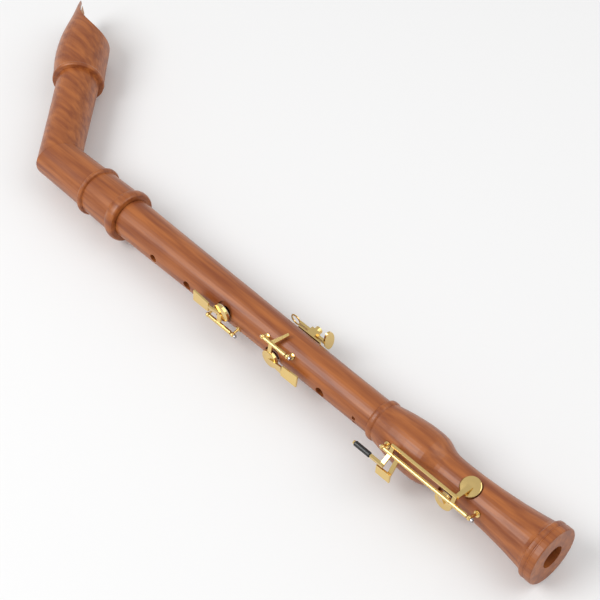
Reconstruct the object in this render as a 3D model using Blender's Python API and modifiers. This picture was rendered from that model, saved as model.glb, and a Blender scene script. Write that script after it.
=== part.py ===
"""Bent-neck tenor recorder: three turned wooden joints, four keys and a sliding thumb rest.

Every size is in millimetres and becomes metres where a mesh is made.
Places on the body are given as front, left and station. The station runs from the bell's end face
towards the head along the body's axis, front is the finger-hole side and left is the player's left.
The head has an axis of its own, tilted back at the elbow, with front, left and height above the elbow.
"""

import math

import bmesh
import bpy
from mathutils import Matrix, Vector

MM = 0.001

# Clearances between neighbouring pieces
GLUE_GAP = 0.15
RUNNING_GAP = 0.10
END_GAP = 0.30

# Turned wood: outside profiles as (station, radius)
WOOD_SIDES = 48
BELL_BORE = 8.2
FOOT_WAIST_BORE = 7.6
FOOT_WAIST_BORE_STATION = 45.0
FOOT_TOP_BORE = 8.6
FOOT_TOP = 144.3
FOOT_OUTSIDE = [
    (0.0, 20.2), (0.6, 20.75), (4.4, 20.8), (5.0, 20.2), (5.6, 20.2), (6.2, 20.65), (7.4, 20.8),
    (8.7, 20.6), (9.4, 19.9), (10.0, 18.9), (12.4, 18.0), (15.6, 17.45), (20.0, 16.8), (26.0, 16.0),
    (33.0, 15.15), (40.0, 14.5), (48.0, 13.85), (57.0, 13.35), (66.0, 13.0), (75.0, 12.9),
    (82.5, 13.0), (86.0, 13.3), (89.0, 13.85), (92.0, 14.9), (95.5, 16.4), (98.5, 17.35),
    (102.0, 17.8), (107.0, 17.95), (113.0, 17.8), (120.0, 17.15), (127.0, 16.3), (133.5, 15.2),
    (138.0, 14.4), (139.6, 14.15), (140.1, 14.6), (141.0, 14.9), (142.8, 14.95), (143.8, 14.7), (144.3, 14.1),
]
MIDDLE_BOTTOM = 144.6
MIDDLE_TOP = 401.0
MIDDLE_OUTSIDE = [
    (144.6, 12.5), (145.2, 12.85), (180.0, 12.95), (196.0, 13.1), (230.0, 13.45), (262.0, 13.75),
    (282.0, 14.0), (312.0, 14.25), (335.0, 14.45), (352.0, 14.65), (375.0, 14.95), (400.5, 15.25),
    (401.0, 15.0),
]
LOWER_TENON_END = 120.4
LOWER_TENON_RADIUS = 11.2
LOWER_SOCKET_RADIUS = 11.6
LOWER_SOCKET_FLOOR = 119.9
UPPER_TENON_END = 428.0
UPPER_TENON_RADIUS = 13.4
UPPER_SOCKET_RADIUS = 13.8
UPPER_SOCKET_FLOOR = 428.5
CORK_GROOVE_DEPTH = 0.7
CORK_PROUD = 0.2
LOWER_CORK_STATIONS = (124.0, 140.0)
UPPER_CORK_STATIONS = (406.0, 424.0)
MIDDLE_BORE_BOTTOM = 8.7
MIDDLE_BORE_TOP = 11.0

SOCKET_FACE = 401.3
ELBOW_STATION = 489.0
ELBOW_OUTSIDE = [
    (401.3, 18.9), (402.2, 19.75), (403.8, 20.15), (405.6, 20.2), (407.4, 19.85), (408.8, 19.15),
    (409.9, 18.1), (411.0, 17.7), (423.0, 17.6), (432.0, 17.4), (438.4, 17.3), (438.9, 18.9),
    (439.8, 19.45), (441.0, 19.5), (442.0, 19.0), (442.7, 17.2), (451.0, 16.85), (461.0, 16.65),
    (475.0, 16.45), (489.0, 16.3), (512.0, 16.3),
]
KNICK_DEGREES = 47.5
HEAD_BORE = 11.6
SEAM_GAP = 0.10
CORNER_ROUNDING = 7.0

# Head outside: (height above the elbow, radius, shift of the section towards the front)
HEAD_OUTSIDE = [
    (-24.0, 16.3, 0.0), (0.0, 16.3, 0.0), (40.0, 16.4, 0.0), (84.3, 16.75, 0.0), (84.8, 19.9, 0.0),
    (85.5, 20.55, 0.0), (86.6, 20.7, 0.0), (87.6, 20.45, 0.0), (88.2, 20.3, 0.1), (93.0, 20.55, 0.5),
    (99.0, 20.8, 1.1), (106.0, 20.95, 1.6), (113.0, 21.0, 1.8), (120.0, 20.9, 1.8), (127.0, 20.5, 1.8),
    (134.0, 19.8, 1.7), (141.0, 18.9, 1.4), (149.0, 17.7, 1.0), (157.0, 16.7, 0.5), (165.0, 16.0, 0.0),
    (170.0, 15.4, 0.0), (172.6, 14.9, 0.0), (173.8, 14.2, 0.0),
]
HEAD_TOP = 173.8
LABIUM_HEIGHT = 107.0
WINDWAY_EXIT = 112.5
WINDWAY_WIDTH = 13.0
WINDWAY_ROOF = 12.7
RAMP_FOOT_HEIGHT = 90.0
BLOCK_RADIUS = HEAD_BORE - GLUE_GAP
CHIN_CENTRE_HEIGHT = 174.0
CHIN_RADIUS = 50.5
CHIN_FRONT = -39.8

# Finger holes: (station, degrees from the front towards the left, radius)
FINGER_HOLES = [
    (358.3, 6.0, 3.1), (321.6, 4.0, 3.6), (188.1, 1.0, 3.8), (156.5, -15.0, 1.9), (156.5, 8.0, 1.6),
]
THUMB_HOLE = (377.0, 180.0, 3.2)

# Hinges and posts
ROD_RADIUS = 0.75
TUBE_RADIUS = 1.45
TUBE_BORE = ROD_RADIUS + RUNNING_GAP
BALL_RADIUS = 1.75
BALL_TO_TUBE = 1.85
STEM_RADIUS = 0.95
POST_FOOT_RADIUS = 2.3
POST_FOOT_HEIGHT = 0.8
SHANK_RADIUS = 1.0
SHANK_LENGTH = 2.0
POST_FLAT_DEPTH = 0.5
ROD_HEAD_RADIUS = 1.35
ROD_HEAD_LENGTH = 1.3
NEEDLE_RADIUS = 0.3
NEEDLE_DROP = 2.7
NEEDLE_OFFSET = 1.7
HOOK_DROP = 3.2

# Pads and cups, measured up from the seat
CUP_RADIUS = 7.0
CUP_RIM_HEIGHT = 1.0
CUP_TOP_HEIGHT = 3.2
CUP_WALL = 0.7
PAD_RADIUS = 6.1
PAD_HEIGHT = 2.35
SEAT_GAP = 0.12
SEAT_CUTTER_RADIUS = 7.7
KEY_HOLE_RADIUS = 3.9

# Keys: the hinge's place, its stations, the pad's seat and the angle from shut to rest
THIRD = dict(angle=-9.0, radius=19.3, low=268.3, high=294.0, cup_station=282.4, cup_angle=18.0,
             seat=12.0, rest_degrees=-15.0, wood_low=13.82, wood_high=14.1)
FOURTH = dict(angle=45.0, radius=18.8, low=217.2, high=241.4, cup_station=233.0, cup_angle=-5.0,
              seat=11.6, rest_degrees=10.0, wood_low=13.32, wood_high=13.55)
FOOT = dict(angle=29.7, radius=22.2, low=49.5, high=123.2, wood_low=13.77, wood_high=16.75)
C_SHARP = dict(cup_station=62.6, cup_angle=75.0, seat=11.2, rest_degrees=0.0)
C_NATURAL = dict(cup_station=74.0, cup_angle=-3.0, seat=11.0, rest_degrees=12.0)

# Foot keys
BRIDGE_ANGLE = 44.6
BRIDGE_RADIUS = 22.6
BRIDGE_ROD = 1.2
LOW_COLLAR_TOP = 65.0
BLOCK_STATION = 63.4
HIGH_COLLAR_BOTTOM = 113.6
C_SHARP_ARM_STATION = 115.8
C_TUBE_LOW = 65.3
C_TUBE_HIGH = 113.3
C_ARM_STATION = 109.5
ROLLER_LOW = 126.0
ROLLER_HIGH = 139.5
ROLLER_RADIUS = 1.9
ROLLER_FRONT = 27.3
ROLLER_LEFT = 7.2
AXLE_RADIUS = 0.6

# Thumb rest, measured back from the body's axis
REST_STATION = 226.0
REST_PLATE_HALF_LENGTH = 10.5
REST_PLATE_HALF_WIDTH = 4.0
REST_PLATE_TOP = 14.8
REST_SADDLE = 13.7
REST_BLOCK_HALF_LENGTH = 3.5
REST_BLOCK_HALF_WIDTH = 3.2
REST_BLOCK_TOP = 20.3
SLIDE_BACK = 18.2
SLIDE_HALF_THICKNESS = 0.9
SLIDE_HALF_WIDTH = 1.6
SLIDE_LOW = 214.6
SLIDE_HIGH = 240.0
RING_STATION = 243.9
RING_RADIUS = 4.1
RING_WIRE = 0.6
THUMB_PLATE_STATION = 214.0
THUMB_PLATE_BACK = 21.2
THUMB_PLATE_HALF_WIDTH = 8.4
THUMB_PLATE_HALF_HEIGHT = 4.4
THUMB_PLATE_THICKNESS = 1.4
THUMB_CORK_THICKNESS = 0.9
CLAMP_HEAD_RADIUS = 2.9
CLAMP_SHANK_RADIUS = 1.0
REST_SCREW_OFFSET = 7.5


def clear_scene():
    for obj in list(bpy.data.objects):
        bpy.data.objects.remove(obj, do_unlink=True)


def new_collection(name):
    collection = bpy.data.collections.new(name)
    bpy.context.scene.collection.children.link(collection)
    return collection


def new_material(name, color, roughness, metallic=0.0):
    material = bpy.data.materials.new(name)
    material.use_nodes = True
    shader = material.node_tree.nodes["Principled BSDF"]
    shader.inputs["Base Color"].default_value = (*color, 1.0)
    shader.inputs["Roughness"].default_value = roughness
    shader.inputs["Metallic"].default_value = metallic
    return material


clear_scene()
PARTS = new_collection("knick_tenor_recorder")
CUTTERS = new_collection("cutters")
CUTTERS.hide_render = True

WOOD = new_material("stained_wood", (0.36, 0.12, 0.035), 0.35)
BLOCK_WOOD = new_material("block_wood", (0.52, 0.30, 0.15), 0.6)
CORK = new_material("cork", (0.55, 0.36, 0.20), 0.9)
BRASS = new_material("polished_brass", (0.80, 0.60, 0.25), 0.2, 1.0)
STEEL = new_material("steel", (0.45, 0.45, 0.46), 0.3, 1.0)
LEATHER = new_material("pad_leather", (0.75, 0.66, 0.52), 0.7)
BLACK = new_material("black_roller", (0.02, 0.02, 0.02), 0.25)


def polar(radius, degrees):
    """Front and left of a point at this radius and angle about the body's axis."""
    angle = math.radians(degrees)
    return radius * math.cos(angle), radius * math.sin(angle)


def place(radius, degrees, station):
    front, left = polar(radius, degrees)
    return Vector((front, left, station))


def radial_matrix(location, degrees):
    """A frame at location with local Z pointing outwards at this angle and local X along the stations."""
    front, left = polar(1.0, degrees)
    outward = Vector((front, left, 0.0))
    along = Vector((0.0, 0.0, 1.0))
    across = outward.cross(along)
    rotation = Matrix((along, across, outward)).transposed().to_4x4()
    return Matrix.Translation(location) @ rotation


def new_empty(name, parent=None, location=(0.0, 0.0, 0.0), rotation=(0.0, 0.0, 0.0)):
    empty = bpy.data.objects.new(name, None)
    empty.empty_display_size = 0.01
    PARTS.objects.link(empty)
    empty.parent = parent
    empty.location = Vector(location) * MM
    empty.rotation_euler = rotation
    return empty


def add_object(name, data, parent, matrix, material=None, cutter=False):
    """Links an object at a matrix given in millimetres in its parent's frame."""
    obj = bpy.data.objects.new(name, data)
    (CUTTERS if cutter else PARTS).objects.link(obj)
    if cutter:
        obj.hide_render = True
        obj.display_type = "WIRE"
    obj.parent = parent
    local = matrix.copy()
    local.translation = matrix.translation * MM
    obj.matrix_local = local
    if material:
        obj.data.materials.append(material)
    return obj


def evaluated_mesh(obj):
    bpy.context.view_layer.update()
    graph = bpy.context.evaluated_depsgraph_get()
    return bpy.data.meshes.new_from_object(obj.evaluated_get(graph), depsgraph=graph)


def turned(name, outside, parent, matrix=Matrix.Identity(4), inside=None, sides=24, material=None,
           cutter=False, sharp=30.0):
    """A turned solid about local Z from (z, radius) points listed upwards, hollow where inside is given."""
    profile = [(radius, z) for z, radius in reversed(outside)]
    if inside:
        profile += [(radius, z) for z, radius in inside]
    else:
        profile = [(0.0, profile[0][1])] + profile + [(0.0, profile[-1][1])]
    mesh = bpy.data.meshes.new(name)
    points = [(radius * MM, 0.0, z * MM) for radius, z in profile]
    edges = [(i, i + 1) for i in range(len(points) - 1)]
    if inside:
        edges.append((len(points) - 1, 0))
    mesh.from_pydata(points, edges, [])
    obj = add_object(name, mesh, parent, matrix, material, cutter)
    screw = obj.modifiers.new("Turned", "SCREW")
    screw.steps = sides
    screw.render_steps = sides
    screw.use_merge_vertices = True
    screw.merge_threshold = 0.00001
    obj.data = evaluated_mesh(obj)
    obj.modifiers.clear()
    clean = bmesh.new()
    clean.from_mesh(obj.data)
    bmesh.ops.recalc_face_normals(clean, faces=clean.faces)
    clean.to_mesh(obj.data)
    clean.free()
    if material and not obj.data.materials:
        obj.data.materials.append(material)
    shade(obj, sharp)
    return obj


def rod(name, start, end, radius, parent, sides=16, material=None, cutter=False):
    """A straight round bar between two points."""
    start, end = Vector(start), Vector(end)
    length = (end - start).length
    rotation = Vector((0.0, 0.0, 1.0)).rotation_difference(end - start).to_matrix().to_4x4()
    matrix = Matrix.Translation(start) @ rotation
    return turned(name, [(0.0, radius), (length, radius)], parent, matrix, None, sides, material, cutter)


def beam(name, start, end, width, thickness, up, parent, end_width=None, cutter=True, material=None):
    """A straight flat bar between two points, its thickness along up and its width across."""
    start, end, up = Vector(start), Vector(end), Vector(up)
    along = (end - start).normalized()
    across = up.cross(along).normalized()
    lift = along.cross(across)
    end_width = width if end_width is None else end_width
    shape = bmesh.new()
    bmesh.ops.create_cube(shape, size=1.0)
    for vertex in shape.verts:
        part = vertex.co.x + 0.5
        across_size = width + (end_width - width) * part
        point = start.lerp(end, part) + across * vertex.co.y * across_size + lift * vertex.co.z * thickness
        vertex.co = point * MM
    bmesh.ops.recalc_face_normals(shape, faces=shape.faces)
    mesh = bpy.data.meshes.new(name)
    shape.to_mesh(mesh)
    shape.free()
    return add_object(name, mesh, parent, Matrix.Identity(4), material, cutter)


def box(name, low, high, parent, matrix=Matrix.Identity(4), cutter=True, material=None):
    low, high = Vector(low), Vector(high)
    shape = bmesh.new()
    bmesh.ops.create_cube(shape, size=1.0)
    for vertex in shape.verts:
        vertex.co = Vector([l + (h - l) * (c + 0.5) for l, h, c in zip(low, high, vertex.co)]) * MM
    mesh = bpy.data.meshes.new(name)
    shape.to_mesh(mesh)
    shape.free()
    return add_object(name, mesh, parent, matrix, material, cutter)


def plate(name, outline, thickness, parent, matrix, cutter=True, material=None):
    """A flat outline in local XY with its thickness along local Z, centred on the outline's plane."""
    curve = bpy.data.curves.new(name, "CURVE")
    curve.dimensions = "2D"
    curve.fill_mode = "BOTH"
    curve.extrude = thickness / 2 * MM
    spline = curve.splines.new("POLY")
    spline.points.add(len(outline) - 1)
    for point, (x, y) in zip(spline.points, outline):
        point.co = (x * MM, y * MM, 0.0, 1.0)
    spline.use_cyclic_u = True
    drawn = add_object(name + "_outline", curve, parent, matrix, None, True)
    mesh = evaluated_mesh(drawn)
    bpy.data.objects.remove(drawn, do_unlink=True)
    merge = bmesh.new()
    merge.from_mesh(mesh)
    bmesh.ops.remove_doubles(merge, verts=merge.verts, dist=0.000001)
    bmesh.ops.recalc_face_normals(merge, faces=merge.faces)
    merge.to_mesh(mesh)
    merge.free()
    return add_object(name, mesh, parent, matrix, material, cutter)


def combine(obj, others, operation):
    material = obj.data.materials[0] if obj.data.materials else None
    for other in others:
        boolean = obj.modifiers.new(operation.title(), "BOOLEAN")
        boolean.operation = operation
        boolean.solver = "EXACT"
        boolean.object = other
        obj.data = evaluated_mesh(obj)
        obj.modifiers.clear()
        merge = bmesh.new()
        merge.from_mesh(obj.data)
        bmesh.ops.remove_doubles(merge, verts=merge.verts, dist=0.000002)
        bmesh.ops.dissolve_degenerate(merge, edges=merge.edges, dist=0.000001)
        merge.to_mesh(obj.data)
        merge.free()
    if material and not obj.data.materials:
        obj.data.materials.append(material)


def join(obj, others):
    combine(obj, others, "UNION")


def cut(obj, others):
    combine(obj, others, "DIFFERENCE")


def shade(obj, degrees=30.0):
    for polygon in obj.data.polygons:
        polygon.use_smooth = True
    obj.data.set_sharp_from_angle(angle=math.radians(degrees))


def keep_one_material(obj, material):
    obj.data.materials.clear()
    obj.data.materials.append(material)
    for polygon in obj.data.polygons:
        polygon.material_index = 0


def tidy(obj, material):
    keep_one_material(obj, material)
    shade(obj)


def add_frames():
    root = new_empty("root")
    body = new_empty("body_axis", root)
    turn = Matrix(((0.0, 0.0, -1.0), (-1.0, 0.0, 0.0), (0.0, 1.0, 0.0)))
    body.rotation_euler = turn.to_euler()
    head = new_empty("head_axis", body, (0.0, 0.0, ELBOW_STATION), (0.0, -math.radians(KNICK_DEGREES), 0.0))
    return root, body, head


ROOT, BODY, HEAD = add_frames()


def hole(name, radius, degrees, station, low, high, sides=20):
    return rod(name, place(low, degrees, station), place(high, degrees, station), radius, BODY, sides, cutter=True)


def add_foot():
    inside = [(0.0, BELL_BORE), (FOOT_WAIST_BORE_STATION, FOOT_WAIST_BORE), (LOWER_SOCKET_FLOOR, FOOT_TOP_BORE),
              (LOWER_SOCKET_FLOOR, LOWER_SOCKET_RADIUS), (FOOT_TOP, LOWER_SOCKET_RADIUS)]
    foot = turned("foot_joint", FOOT_OUTSIDE, BODY, inside=inside, sides=WOOD_SIDES, material=WOOD)
    cutters = []
    for key in (C_SHARP, C_NATURAL):
        cutters.append(hole("seat", SEAT_CUTTER_RADIUS, key["cup_angle"], key["cup_station"], key["seat"], 30.0, 32))
        cutters.append(hole("tone", KEY_HOLE_RADIUS, key["cup_angle"], key["cup_station"], 2.0, 20.0))
    cutters += post_cutters(FOOT)
    cut(foot, cutters)
    tidy(foot, WOOD)


def add_middle():
    low, high = LOWER_CORK_STATIONS
    bottom, top = UPPER_CORK_STATIONS
    outside = [(LOWER_TENON_END, LOWER_TENON_RADIUS), (low, LOWER_TENON_RADIUS),
               (low, LOWER_TENON_RADIUS - CORK_GROOVE_DEPTH), (high, LOWER_TENON_RADIUS - CORK_GROOVE_DEPTH),
               (high, LOWER_TENON_RADIUS), (MIDDLE_BOTTOM, LOWER_TENON_RADIUS)]
    outside += MIDDLE_OUTSIDE
    outside += [(MIDDLE_TOP, UPPER_TENON_RADIUS), (bottom, UPPER_TENON_RADIUS),
                (bottom, UPPER_TENON_RADIUS - CORK_GROOVE_DEPTH), (top, UPPER_TENON_RADIUS - CORK_GROOVE_DEPTH),
                (top, UPPER_TENON_RADIUS), (UPPER_TENON_END, UPPER_TENON_RADIUS)]
    inside = [(LOWER_TENON_END, MIDDLE_BORE_BOTTOM), (UPPER_TENON_END, MIDDLE_BORE_TOP)]
    middle = turned("middle_joint", outside, BODY, inside=inside, sides=WOOD_SIDES, material=WOOD)
    cutters = []
    for station, degrees, radius in FINGER_HOLES + [THUMB_HOLE]:
        cutters.append(hole("finger", radius, degrees, station, 2.0, 30.0))
    for key in (THIRD, FOURTH):
        cutters.append(hole("seat", SEAT_CUTTER_RADIUS, key["cup_angle"], key["cup_station"], key["seat"], 30.0, 32))
        cutters.append(hole("tone", KEY_HOLE_RADIUS, key["cup_angle"], key["cup_station"], 2.0, 20.0))
        cutters += post_cutters(key)
    for side in (-1, 1):
        station = REST_STATION + side * REST_SCREW_OFFSET
        cutters.append(hole("screw_hole", 0.9, 180.0, station, 10.0, 30.0, 12))
    cut(middle, cutters)
    tidy(middle, WOOD)


def add_cork(name, stations, tenon_radius):
    low, high = stations[0] + GLUE_GAP, stations[1] - GLUE_GAP
    inner = tenon_radius - CORK_GROOVE_DEPTH + GLUE_GAP
    outer = tenon_radius + CORK_PROUD
    turned(name, [(low, outer), (high, outer)], BODY, inside=[(low, inner), (high, inner)], sides=32, material=CORK)


def mitre_box(name, above):
    """Everything on one side of the elbow's seam."""
    turn = Matrix.Rotation(-math.radians(KNICK_DEGREES / 2), 4, "Y")
    matrix = Matrix.Translation((0.0, 0.0, ELBOW_STATION)) @ turn
    near, far = SEAM_GAP / 2, 60.0
    low, high = (-near, far) if above else (-far, near)
    return box(name, (-60.0, -60.0, low), (60.0, 60.0, high), BODY, matrix)


def add_elbow():
    inside = [(SOCKET_FACE, UPPER_SOCKET_RADIUS), (UPPER_SOCKET_FLOOR, UPPER_SOCKET_RADIUS),
              (UPPER_SOCKET_FLOOR, HEAD_BORE), (ELBOW_OUTSIDE[-1][0], HEAD_BORE)]
    elbow = turned("head_elbow", ELBOW_OUTSIDE, BODY, inside=inside, sides=WOOD_SIDES, material=WOOD)
    cut(elbow, [mitre_box("above_seam", True)])
    tidy(elbow, WOOD)


def front_shift(height):
    for (low, _, first), (high, _, second) in zip(HEAD_OUTSIDE, HEAD_OUTSIDE[1:]):
        if low <= height <= high:
            return first + (second - first) * (height - low) / (high - low)
    return 0.0


def chin_cutter():
    centre = Vector((CHIN_FRONT, 0.0, CHIN_CENTRE_HEIGHT))
    side = Vector((0.0, 45.0, 0.0))
    return rod("chin", centre - side, centre + side, CHIN_RADIUS, HEAD, 64, cutter=True)


def add_head():
    outside = [(height, radius) for height, radius, _ in HEAD_OUTSIDE]
    head = turned("head_upper", outside, HEAD, sides=WOOD_SIDES, material=WOOD)
    for vertex in head.data.vertices:
        vertex.co.x += front_shift(vertex.co.z / MM) * MM
    bore = rod("head_bore", (0.0, 0.0, -40.0), (0.0, 0.0, HEAD_TOP + 5.0), HEAD_BORE, HEAD, 48, cutter=True)
    half = WINDWAY_WIDTH / 2
    windway = box("windway", (5.0, -half, WINDWAY_EXIT - 0.2), (WINDWAY_ROOF, half, HEAD_TOP + 5.0), HEAD)
    across = Matrix(((0.0, 1.0, 0.0, 0.0), (0.0, 0.0, 1.0, 0.0), (1.0, 0.0, 0.0, 0.0), (0.0, 0.0, 0.0, 1.0)))
    outline = [(LABIUM_HEIGHT, 5.0), (LABIUM_HEIGHT, HEAD_BORE + 0.6), (RAMP_FOOT_HEIGHT, 22.0),
               (WINDWAY_EXIT, 26.0), (WINDWAY_EXIT, 5.0)]
    window = plate("window", outline, WINDWAY_WIDTH, HEAD, across)
    cut(head, [mitre_box("below_seam", False), bore, chin_cutter(), windway, window])
    tidy(head, WOOD)


def add_block():
    outside = [(WINDWAY_EXIT, BLOCK_RADIUS), (HEAD_TOP, BLOCK_RADIUS)]
    block = turned("windway_block", outside, HEAD, sides=48, material=BLOCK_WOOD)
    cut(block, [chin_cutter()])
    tidy(block, BLOCK_WOOD)


def post_places(hinge):
    return [(hinge["low"], hinge["wood_low"], "low"), (hinge["high"], hinge["wood_high"], "high")]


def post_cutters(hinge):
    cutters = []
    for station, wood, _ in post_places(hinge):
        floor = wood - POST_FLAT_DEPTH
        cutters.append(hole("post_flat", POST_FOOT_RADIUS + 0.2, hinge["angle"], station, floor, wood + 8.0))
        bottom = floor - SHANK_LENGTH - END_GAP
        cutters.append(hole("post_hole", SHANK_RADIUS + GLUE_GAP, hinge["angle"], station, bottom, wood, 12))
    return cutters


def add_post(name, hinge, station, wood):
    floor = wood - POST_FLAT_DEPTH + GLUE_GAP
    axis = hinge["radius"] - floor
    outside = [(-SHANK_LENGTH, SHANK_RADIUS), (0.0, SHANK_RADIUS), (0.0, POST_FOOT_RADIUS),
               (POST_FOOT_HEIGHT, POST_FOOT_RADIUS), (POST_FOOT_HEIGHT + 0.4, STEM_RADIUS)]
    neck = math.asin(STEM_RADIUS / BALL_RADIUS)
    for step in range(8):
        angle = neck + (math.pi * 0.94 - neck) * step / 7
        outside.append((axis - BALL_RADIUS * math.cos(angle), BALL_RADIUS * math.sin(angle)))
    matrix = radial_matrix(place(floor, hinge["angle"], station), hinge["angle"])
    post = turned(name, outside, BODY, matrix, sides=16, material=BRASS)
    along = Vector((0.0, 0.0, 4.0))
    centre = place(hinge["radius"], hinge["angle"], station)
    cut(post, [rod("ball_bore", centre - along, centre + along, ROD_RADIUS + GLUE_GAP, BODY, 16, cutter=True)])
    tidy(post, BRASS)


def add_hinge(prefix, hinge):
    for station, wood, end in post_places(hinge):
        add_post(prefix + "_post_" + end, hinge, station, wood)
    head_face = hinge["low"] - BALL_RADIUS - GLUE_GAP
    outside = [(head_face - ROD_HEAD_LENGTH, ROD_HEAD_RADIUS), (head_face, ROD_HEAD_RADIUS),
               (head_face, ROD_RADIUS), (hinge["high"] + BALL_RADIUS, ROD_RADIUS)]
    front, left = polar(hinge["radius"], hinge["angle"])
    matrix = Matrix.Translation((front, left, 0.0))
    rod_piece = turned(prefix + "_hinge_rod", outside, BODY, matrix, sides=16, material=STEEL)
    low = head_face - ROD_HEAD_LENGTH
    slot = box("slot", (-0.25, -2.0, low - 1.0), (0.25, 2.0, low + 0.5), BODY, matrix)
    cut(rod_piece, [slot])
    tidy(rod_piece, STEEL)


def hinge_empty(name, hinge, rest_degrees):
    front, left = polar(hinge["radius"], hinge["angle"])
    return new_empty(name, BODY, (front, left, 0.0), (0.0, 0.0, math.radians(rest_degrees)))


class KeyShape:
    """Collects the shapes of one key, given in the body's frame with the key shut."""

    def __init__(self, prefix, hinge, rest_degrees):
        self.prefix = prefix
        self.empty = hinge_empty(prefix + "_axis", hinge, rest_degrees)
        self.centre = Vector((*polar(hinge["radius"], hinge["angle"]), 0.0))
        self.shapes = []
        self.rooms = []

    def tube(self, low, high):
        self.shapes.append(rod("tube", (0, 0, low), (0, 0, high), TUBE_RADIUS, self.empty, 20, cutter=True))

    def bar(self, start, end, width, thickness, up, end_width=None):
        start, end = Vector(start) - self.centre, Vector(end) - self.centre
        self.shapes.append(beam("bar", start, end, width, thickness, up, self.empty, end_width))

    def cup(self, key):
        base = place(key["seat"], key["cup_angle"], key["cup_station"]) - self.centre
        matrix = radial_matrix(base, key["cup_angle"])
        under = SEAT_GAP + PAD_HEIGHT + GLUE_GAP
        inner = CUP_RADIUS - CUP_WALL
        outside = [(under, inner), (CUP_RIM_HEIGHT, inner), (CUP_RIM_HEIGHT, CUP_RADIUS),
                   (CUP_TOP_HEIGHT - 0.3, CUP_RADIUS), (CUP_TOP_HEIGHT, CUP_RADIUS - 0.5),
                   (CUP_TOP_HEIGHT + 0.15, 3.0)]
        self.shapes.append(turned("cup", outside, self.empty, matrix, sides=24, cutter=True))
        room = [(-4.0, inner), (under, inner)]
        self.rooms.append(turned("pad_room", room, self.empty, matrix, sides=24, cutter=True))
        pad = [(SEAT_GAP, PAD_RADIUS), (SEAT_GAP + PAD_HEIGHT, PAD_RADIUS)]
        turned(self.prefix + "_pad", pad, self.empty, matrix, sides=24, material=LEATHER)

    def finish(self):
        key = self.shapes[0]
        first = key.data
        made = add_object(self.prefix + "_key", first, self.empty, Matrix.Identity(4), BRASS)
        made.matrix_local = key.matrix_local.copy()
        bore = rod("bore", (0, 0, 0), (0, 0, 400), TUBE_BORE, self.empty, 16, cutter=True)
        join(made, self.shapes[1:])
        cut(made, [bore] + self.rooms)
        tidy(made, BRASS)


def axis_point(hinge, station):
    return place(hinge["radius"], hinge["angle"], station)


def cup_top(key):
    return place(key["seat"] + CUP_TOP_HEIGHT + 0.2, key["cup_angle"], key["cup_station"])


def add_third_key():
    shape = KeyShape("third", THIRD, THIRD["rest_degrees"])
    shape.tube(THIRD["low"] + BALL_TO_TUBE, THIRD["high"] - BALL_TO_TUBE)
    shape.cup(THIRD)
    top, up = cup_top(THIRD), place(1.0, 10.0, 0.0)
    shape.bar(axis_point(THIRD, THIRD["cup_station"]), top, 3.2, 1.3, up, 4.0)
    touch_low, touch_high = place(17.6, 22.0, 291.5), place(17.6, 24.0, 307.0)
    shape.bar(top, touch_low, 3.0, 1.3, up, 4.5)
    shape.bar(touch_low, touch_high, 8.0, 1.3, place(1.0, 24.0, 0.0), 9.5)
    shape.finish()


def add_fourth_key():
    shape = KeyShape("fourth", FOURTH, FOURTH["rest_degrees"])
    shape.tube(FOURTH["low"] + BALL_TO_TUBE, FOURTH["high"] - BALL_TO_TUBE)
    shape.cup(FOURTH)
    top, up = cup_top(FOURTH), place(1.0, 15.0, 0.0)
    over = axis_point(FOURTH, FOURTH["cup_station"])
    shape.bar(over, top, 3.0, 1.3, up, 4.0)
    shape.bar(over, place(18.8, 83.0, 227.5), 3.2, 1.3, place(1.0, 62.0, 0.0), 2.0)
    touch_high, touch_low = place(17.6, 8.0, 217.5), place(17.6, 10.0, 203.0)
    shape.bar(top, touch_high, 3.0, 1.3, place(1.0, 4.0, 0.0), 6.0)
    shape.bar(touch_high, touch_low, 7.5, 1.3, place(1.0, 9.0, 0.0), 8.5)
    shape.finish()


def add_c_natural():
    shape = KeyShape("c_natural", FOOT, C_NATURAL["rest_degrees"])
    shape.tube(C_TUBE_LOW, C_TUBE_HIGH)
    shape.cup(C_NATURAL)
    shape.bar(axis_point(FOOT, C_NATURAL["cup_station"]), cup_top(C_NATURAL), 3.2, 1.3, place(1.0, 10.0, 0.0), 4.0)
    touch = Vector((26.6, -0.5, C_ARM_STATION))
    shape.bar(axis_point(FOOT, C_ARM_STATION), touch, 3.0, 1.4, (1.0, -1.0, 0.0), 3.0)
    shape.bar(touch + Vector((0, 0, -1.8)), touch + Vector((0, 0, 10.0)), 7.0, 1.3, (1.0, 0.0, 0.0))
    shape.finish()


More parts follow.
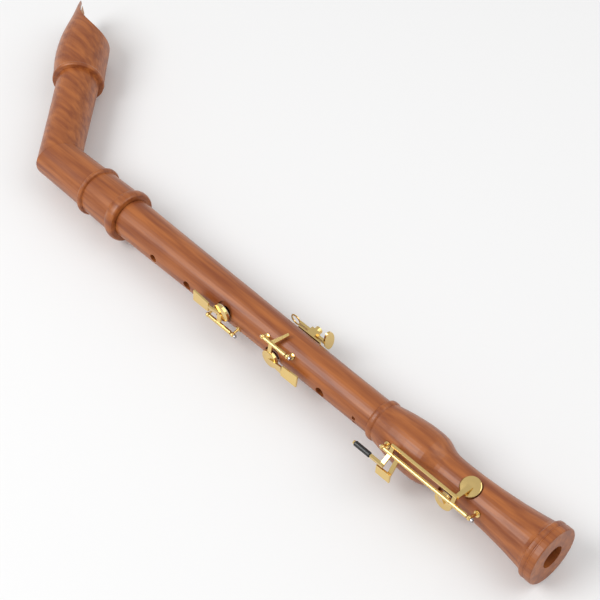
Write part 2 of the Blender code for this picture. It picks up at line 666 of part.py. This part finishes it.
def add_c_sharp():
    shape = KeyShape("c_sharp", FOOT, C_SHARP["rest_degrees"])
    shape.tube(HIGH_COLLAR_BOTTOM, FOOT["high"] - BALL_TO_TUBE)
    shape.tube(FOOT["low"] + BALL_TO_TUBE, LOW_COLLAR_TOP)
    bridge_low = place(BRIDGE_RADIUS, BRIDGE_ANGLE, BLOCK_STATION - 1.5)
    bridge_high = place(BRIDGE_RADIUS, BRIDGE_ANGLE, C_SHARP_ARM_STATION + 1.5)
    offset = shape.centre
    shape.shapes.append(rod("bridge", bridge_low - offset, bridge_high - offset, BRIDGE_ROD, shape.empty, 12, cutter=True))
    bar_up = (1.0, 0.6, 0.0)
    for station in (BLOCK_STATION, C_SHARP_ARM_STATION):
        shape.bar(axis_point(FOOT, station), place(BRIDGE_RADIUS, BRIDGE_ANGLE, station), 2.8, 1.8, bar_up)
    shape.cup(C_SHARP)
    shape.bar(place(BRIDGE_RADIUS, BRIDGE_ANGLE, C_SHARP["cup_station"]), cup_top(C_SHARP), 3.0, 1.3,
              place(1.0, 60.0, 0.0), 4.0)
    arm_end = Vector((ROLLER_FRONT, ROLLER_LEFT, C_SHARP_ARM_STATION))
    shape.bar(axis_point(FOOT, C_SHARP_ARM_STATION), arm_end, 2.8, 1.6, (0.4, 1.0, 0.0))
    bar_end = Vector((ROLLER_FRONT, ROLLER_LEFT, ROLLER_LOW - END_GAP))
    shape.bar(arm_end - Vector((0, 0, 1.4)), bar_end, 2.4, 2.2, (1.0, 0.0, 0.0))
    tip = Vector((ROLLER_FRONT, ROLLER_LEFT, ROLLER_HIGH + END_GAP))
    shape.shapes.append(rod("axle", bar_end - offset - Vector((0, 0, 1)), tip - offset, AXLE_RADIUS, shape.empty, 12, cutter=True))
    cap = tip + Vector((0, 0, 1.0))
    shape.shapes.append(rod("axle_cap", tip - offset - Vector((0, 0, 0.1)), cap - offset, 1.3, shape.empty, 12, cutter=True))
    shape.finish()
    inner, outer = AXLE_RADIUS + 0.09, ROLLER_RADIUS
    outside = [(ROLLER_LOW, outer - 0.3), (ROLLER_LOW + 0.4, outer), (ROLLER_HIGH - 0.4, outer), (ROLLER_HIGH, outer - 0.3)]
    matrix = Matrix.Translation(Vector((ROLLER_FRONT, ROLLER_LEFT, 0.0)))
    turned("c_sharp_roller", outside, BODY, matrix, [(ROLLER_LOW, inner), (ROLLER_HIGH, inner)], 24, BLACK)


def add_thumb_rest():
    low, high = REST_STATION - REST_PLATE_HALF_LENGTH, REST_STATION + REST_PLATE_HALF_LENGTH
    wide = REST_PLATE_HALF_WIDTH
    base = box("rest_plate", (-REST_PLATE_TOP, -wide, low), (-REST_SADDLE, wide, high), BODY, cutter=False, material=BRASS)
    half, side = REST_BLOCK_HALF_LENGTH, REST_BLOCK_HALF_WIDTH
    block = box("rest_block", (-REST_BLOCK_TOP, -side, REST_STATION - half), (-REST_PLATE_TOP + 0.3, side, REST_STATION + half), BODY)
    thick, flat = SLIDE_HALF_THICKNESS + RUNNING_GAP, SLIDE_HALF_WIDTH + RUNNING_GAP
    way = box("way", (-SLIDE_BACK - thick, -flat, low - 9.0), (-SLIDE_BACK + thick, flat, high + 9.0), BODY)
    cutters = [way, hole("clamp_hole", CLAMP_SHANK_RADIUS + RUNNING_GAP, 180.0, REST_STATION, SLIDE_BACK, 30.0, 16)]
    for sign in (-1, 1):
        cutters.append(hole("plate_hole", 0.9, 180.0, REST_STATION + sign * REST_SCREW_OFFSET, 10.0, 30.0, 12))
    join(base, [block])
    cut(base, cutters)
    tidy(base, BRASS)
    for sign, end in ((-1, "low"), (1, "high")):
        matrix = radial_matrix(place(0.0, 180.0, REST_STATION + sign * REST_SCREW_OFFSET), 180.0)
        outside = [(10.3, 0.3), (11.2, 0.7), (REST_PLATE_TOP + GLUE_GAP, 0.7), (REST_PLATE_TOP + GLUE_GAP, 1.6), (15.9, 1.2)]
        turned("rest_screw_" + end, outside, BODY, matrix, sides=16, material=STEEL)
    start, end = (-SLIDE_BACK, 0.0, SLIDE_LOW), (-SLIDE_BACK, 0.0, SLIDE_HIGH)
    slide = beam("rest_slide", start, end, 2 * SLIDE_HALF_WIDTH, 2 * SLIDE_HALF_THICKNESS, (1, 0, 0), BODY, cutter=False, material=BRASS)
    wide_half, flat_half = RING_WIRE * 0.95, RING_WIRE * 0.4
    outer = [(-wide_half, RING_RADIUS + flat_half), (-flat_half, RING_RADIUS + wide_half),
             (flat_half, RING_RADIUS + wide_half), (wide_half, RING_RADIUS + flat_half)]
    inner = [(-wide_half, RING_RADIUS - flat_half), (-flat_half, RING_RADIUS - wide_half),
             (flat_half, RING_RADIUS - wide_half), (wide_half, RING_RADIUS - flat_half)]
    ring_place = radial_matrix(place(SLIDE_BACK, 180.0, RING_STATION), 180.0)
    ring = turned("ring", outer, BODY, ring_place, inner, 32, cutter=True)
    disc = rod("disc", (-THUMB_PLATE_BACK, 0, THUMB_PLATE_STATION), (-THUMB_PLATE_BACK, 0, THUMB_PLATE_STATION + THUMB_PLATE_THICKNESS),
               THUMB_PLATE_HALF_HEIGHT, BODY, 32, cutter=True)
    stretch = THUMB_PLATE_HALF_WIDTH / THUMB_PLATE_HALF_HEIGHT
    for vertex in disc.data.vertices:
        vertex.co.y *= stretch
    join(slide, [ring, disc])
    tidy(slide, BRASS)
    matrix = radial_matrix(place(0.0, 180.0, REST_STATION), 180.0)
    tip = SLIDE_BACK + SLIDE_HALF_THICKNESS + RUNNING_GAP
    seat = REST_BLOCK_TOP + GLUE_GAP
    outside = [(tip, CLAMP_SHANK_RADIUS), (seat, CLAMP_SHANK_RADIUS), (seat, CLAMP_HEAD_RADIUS), (seat + 2.8, CLAMP_HEAD_RADIUS)]
    turned("clamp_screw", outside, BODY, matrix, sides=20, material=BRASS)


def stand_on_floor():
    bpy.context.view_layer.update()
    low, high = Vector((1e9,) * 3), Vector((-1e9,) * 3)
    for obj in PARTS.objects:
        if obj.type != "MESH":
            continue
        for vertex in obj.data.vertices:
            point = obj.matrix_world @ vertex.co
            low = Vector(map(min, low, point))
            high = Vector(map(max, high, point))
    ROOT.location = (-(low.x + high.x) / 2, -(low.y + high.y) / 2, -low.z)


add_foot()
add_middle()
add_cork("lower_tenon_cork", LOWER_CORK_STATIONS, LOWER_TENON_RADIUS)
add_cork("upper_tenon_cork", UPPER_CORK_STATIONS, UPPER_TENON_RADIUS)
add_elbow()
add_head()
add_block()
add_hinge("third", THIRD)
add_hinge("fourth", FOURTH)
add_hinge("foot", FOOT)
add_third_key()
add_fourth_key()
add_c_natural()
add_c_sharp()
add_thumb_rest()
stand_on_floor()
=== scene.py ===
import bpy
from mathutils import Matrix, Vector

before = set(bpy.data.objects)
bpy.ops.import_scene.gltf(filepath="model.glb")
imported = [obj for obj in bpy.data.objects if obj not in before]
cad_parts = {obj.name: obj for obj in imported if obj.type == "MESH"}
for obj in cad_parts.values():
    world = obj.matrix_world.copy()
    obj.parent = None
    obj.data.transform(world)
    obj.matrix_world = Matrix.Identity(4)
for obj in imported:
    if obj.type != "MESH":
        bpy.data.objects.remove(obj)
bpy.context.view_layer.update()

# The bell end's centre in the row frame, and the camera's place from it, in metres
BELL_CENTRE = Vector((0.30844, -0.04536, 0.02100))
CAMERA_FROM_BELL = Vector((0.2665, -0.3615, 0.8012))
CAMERA_RIGHT = Vector((0.6814, 0.7268, -0.0864))
CAMERA_UP = Vector((-0.5307, 0.5718, 0.6257))
CAMERA_FORWARD = Vector((-0.5041, 0.3805, -0.7753))
LENS = 90.0
SENSOR = 36.0

WOOD_NODES = ("foot_joint", "middle_joint", "head_elbow", "head_upper")


def shader_of(name):
    material = bpy.data.materials.new(name)
    material.use_nodes = True
    return material, material.node_tree.nodes, material.node_tree.links


def grained_wood(name, light, dark, roughness):
    """Fine lengthwise figure, stretched along each piece."""
    material, nodes, links = shader_of(name)
    surface = nodes["Principled BSDF"]
    place = nodes.new("ShaderNodeTexCoord")
    stretch = nodes.new("ShaderNodeMapping")
    stretch.inputs["Scale"].default_value = (12.0, 160.0, 160.0)
    figure = nodes.new("ShaderNodeTexNoise")
    figure.inputs["Scale"].default_value = 1.5
    figure.inputs["Detail"].default_value = 6.0
    ramp = nodes.new("ShaderNodeValToRGB")
    ramp.color_ramp.elements[0].position = 0.35
    ramp.color_ramp.elements[0].color = (*dark, 1.0)
    ramp.color_ramp.elements[1].position = 0.68
    ramp.color_ramp.elements[1].color = (*light, 1.0)
    links.new(place.outputs["Object"], stretch.inputs["Vector"])
    links.new(stretch.outputs["Vector"], figure.inputs["Vector"])
    links.new(figure.outputs["Fac"], ramp.inputs["Fac"])
    links.new(ramp.outputs["Color"], surface.inputs["Base Color"])
    surface.inputs["Roughness"].default_value = roughness
    return material


def plain(name, color, roughness, metallic=0.0):
    material, nodes, _ = shader_of(name)
    surface = nodes["Principled BSDF"]
    surface.inputs["Base Color"].default_value = (*color, 1.0)
    surface.inputs["Roughness"].default_value = roughness
    surface.inputs["Metallic"].default_value = metallic
    return material


WOOD = grained_wood("body_wood", (0.42, 0.13, 0.03), (0.24, 0.06, 0.015), 0.35)
BLOCK = grained_wood("cedar_block", (0.52, 0.28, 0.14), (0.4, 0.2, 0.09), 0.6)
GOLD = plain("gold_plate", (0.83, 0.6, 0.24), 0.18, 1.0)
STEEL = plain("steel", (0.5, 0.5, 0.52), 0.3, 1.0)
PAD = plain("pad_skin", (0.75, 0.66, 0.52), 0.7)
CORK = plain("cork", (0.55, 0.36, 0.2), 0.9)
BLACK = plain("black_plastic", (0.015, 0.015, 0.015), 0.2)


def material_for(name):
    if name in WOOD_NODES:
        return WOOD
    if name == "windway_block":
        return BLOCK
    if name.endswith("_cork"):
        return CORK
    if name.endswith("_pad"):
        return PAD
    if name.endswith("_roller"):
        return BLACK
    if "screw_" in name or name.endswith("_rod"):
        return STEEL
    return GOLD


for name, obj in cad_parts.items():
    obj.data.materials.clear()
    obj.data.materials.append(material_for(name))


def add_floor():
    bpy.ops.mesh.primitive_plane_add(size=8.0, location=(0.0, 0.0, -0.0005))
    floor = bpy.context.object
    floor.name = "floor"
    floor.data.materials.append(plain("pale_floor", (0.85, 0.85, 0.85), 0.9))


def add_lamp(name, location, size, power):
    data = bpy.data.lights.new(name, "AREA")
    data.size = size
    data.energy = power
    lamp = bpy.data.objects.new(name, data)
    bpy.context.scene.collection.objects.link(lamp)
    lamp.location = location
    lamp.rotation_euler = (-Vector(location)).to_track_quat("-Z", "Y").to_euler()


def add_world():
    world = bpy.data.worlds.new("studio")
    bpy.context.scene.world = world
    world.use_nodes = True
    world.node_tree.nodes["Background"].inputs["Color"].default_value = (1.0, 1.0, 1.0, 1.0)
    world.node_tree.nodes["Background"].inputs["Strength"].default_value = 0.6


def add_camera():
    data = bpy.data.cameras.new("photo_camera")
    data.lens = LENS
    data.sensor_width = SENSOR
    camera = bpy.data.objects.new("photo_camera", data)
    bpy.context.scene.collection.objects.link(camera)
    turn = Matrix((CAMERA_RIGHT, CAMERA_UP, -CAMERA_FORWARD)).transposed().to_4x4()
    camera.matrix_world = Matrix.Translation(BELL_CENTRE + CAMERA_FROM_BELL) @ turn
    bpy.context.scene.camera = camera


add_floor()
add_lamp("key_lamp", (-0.6, -1.2, 1.6), 1.2, 22.0)
add_lamp("fill_lamp", (1.0, 0.8, 1.5), 1.5, 10.0)
add_world()
add_camera()
bpy.context.scene.view_settings.view_transform = "Standard"
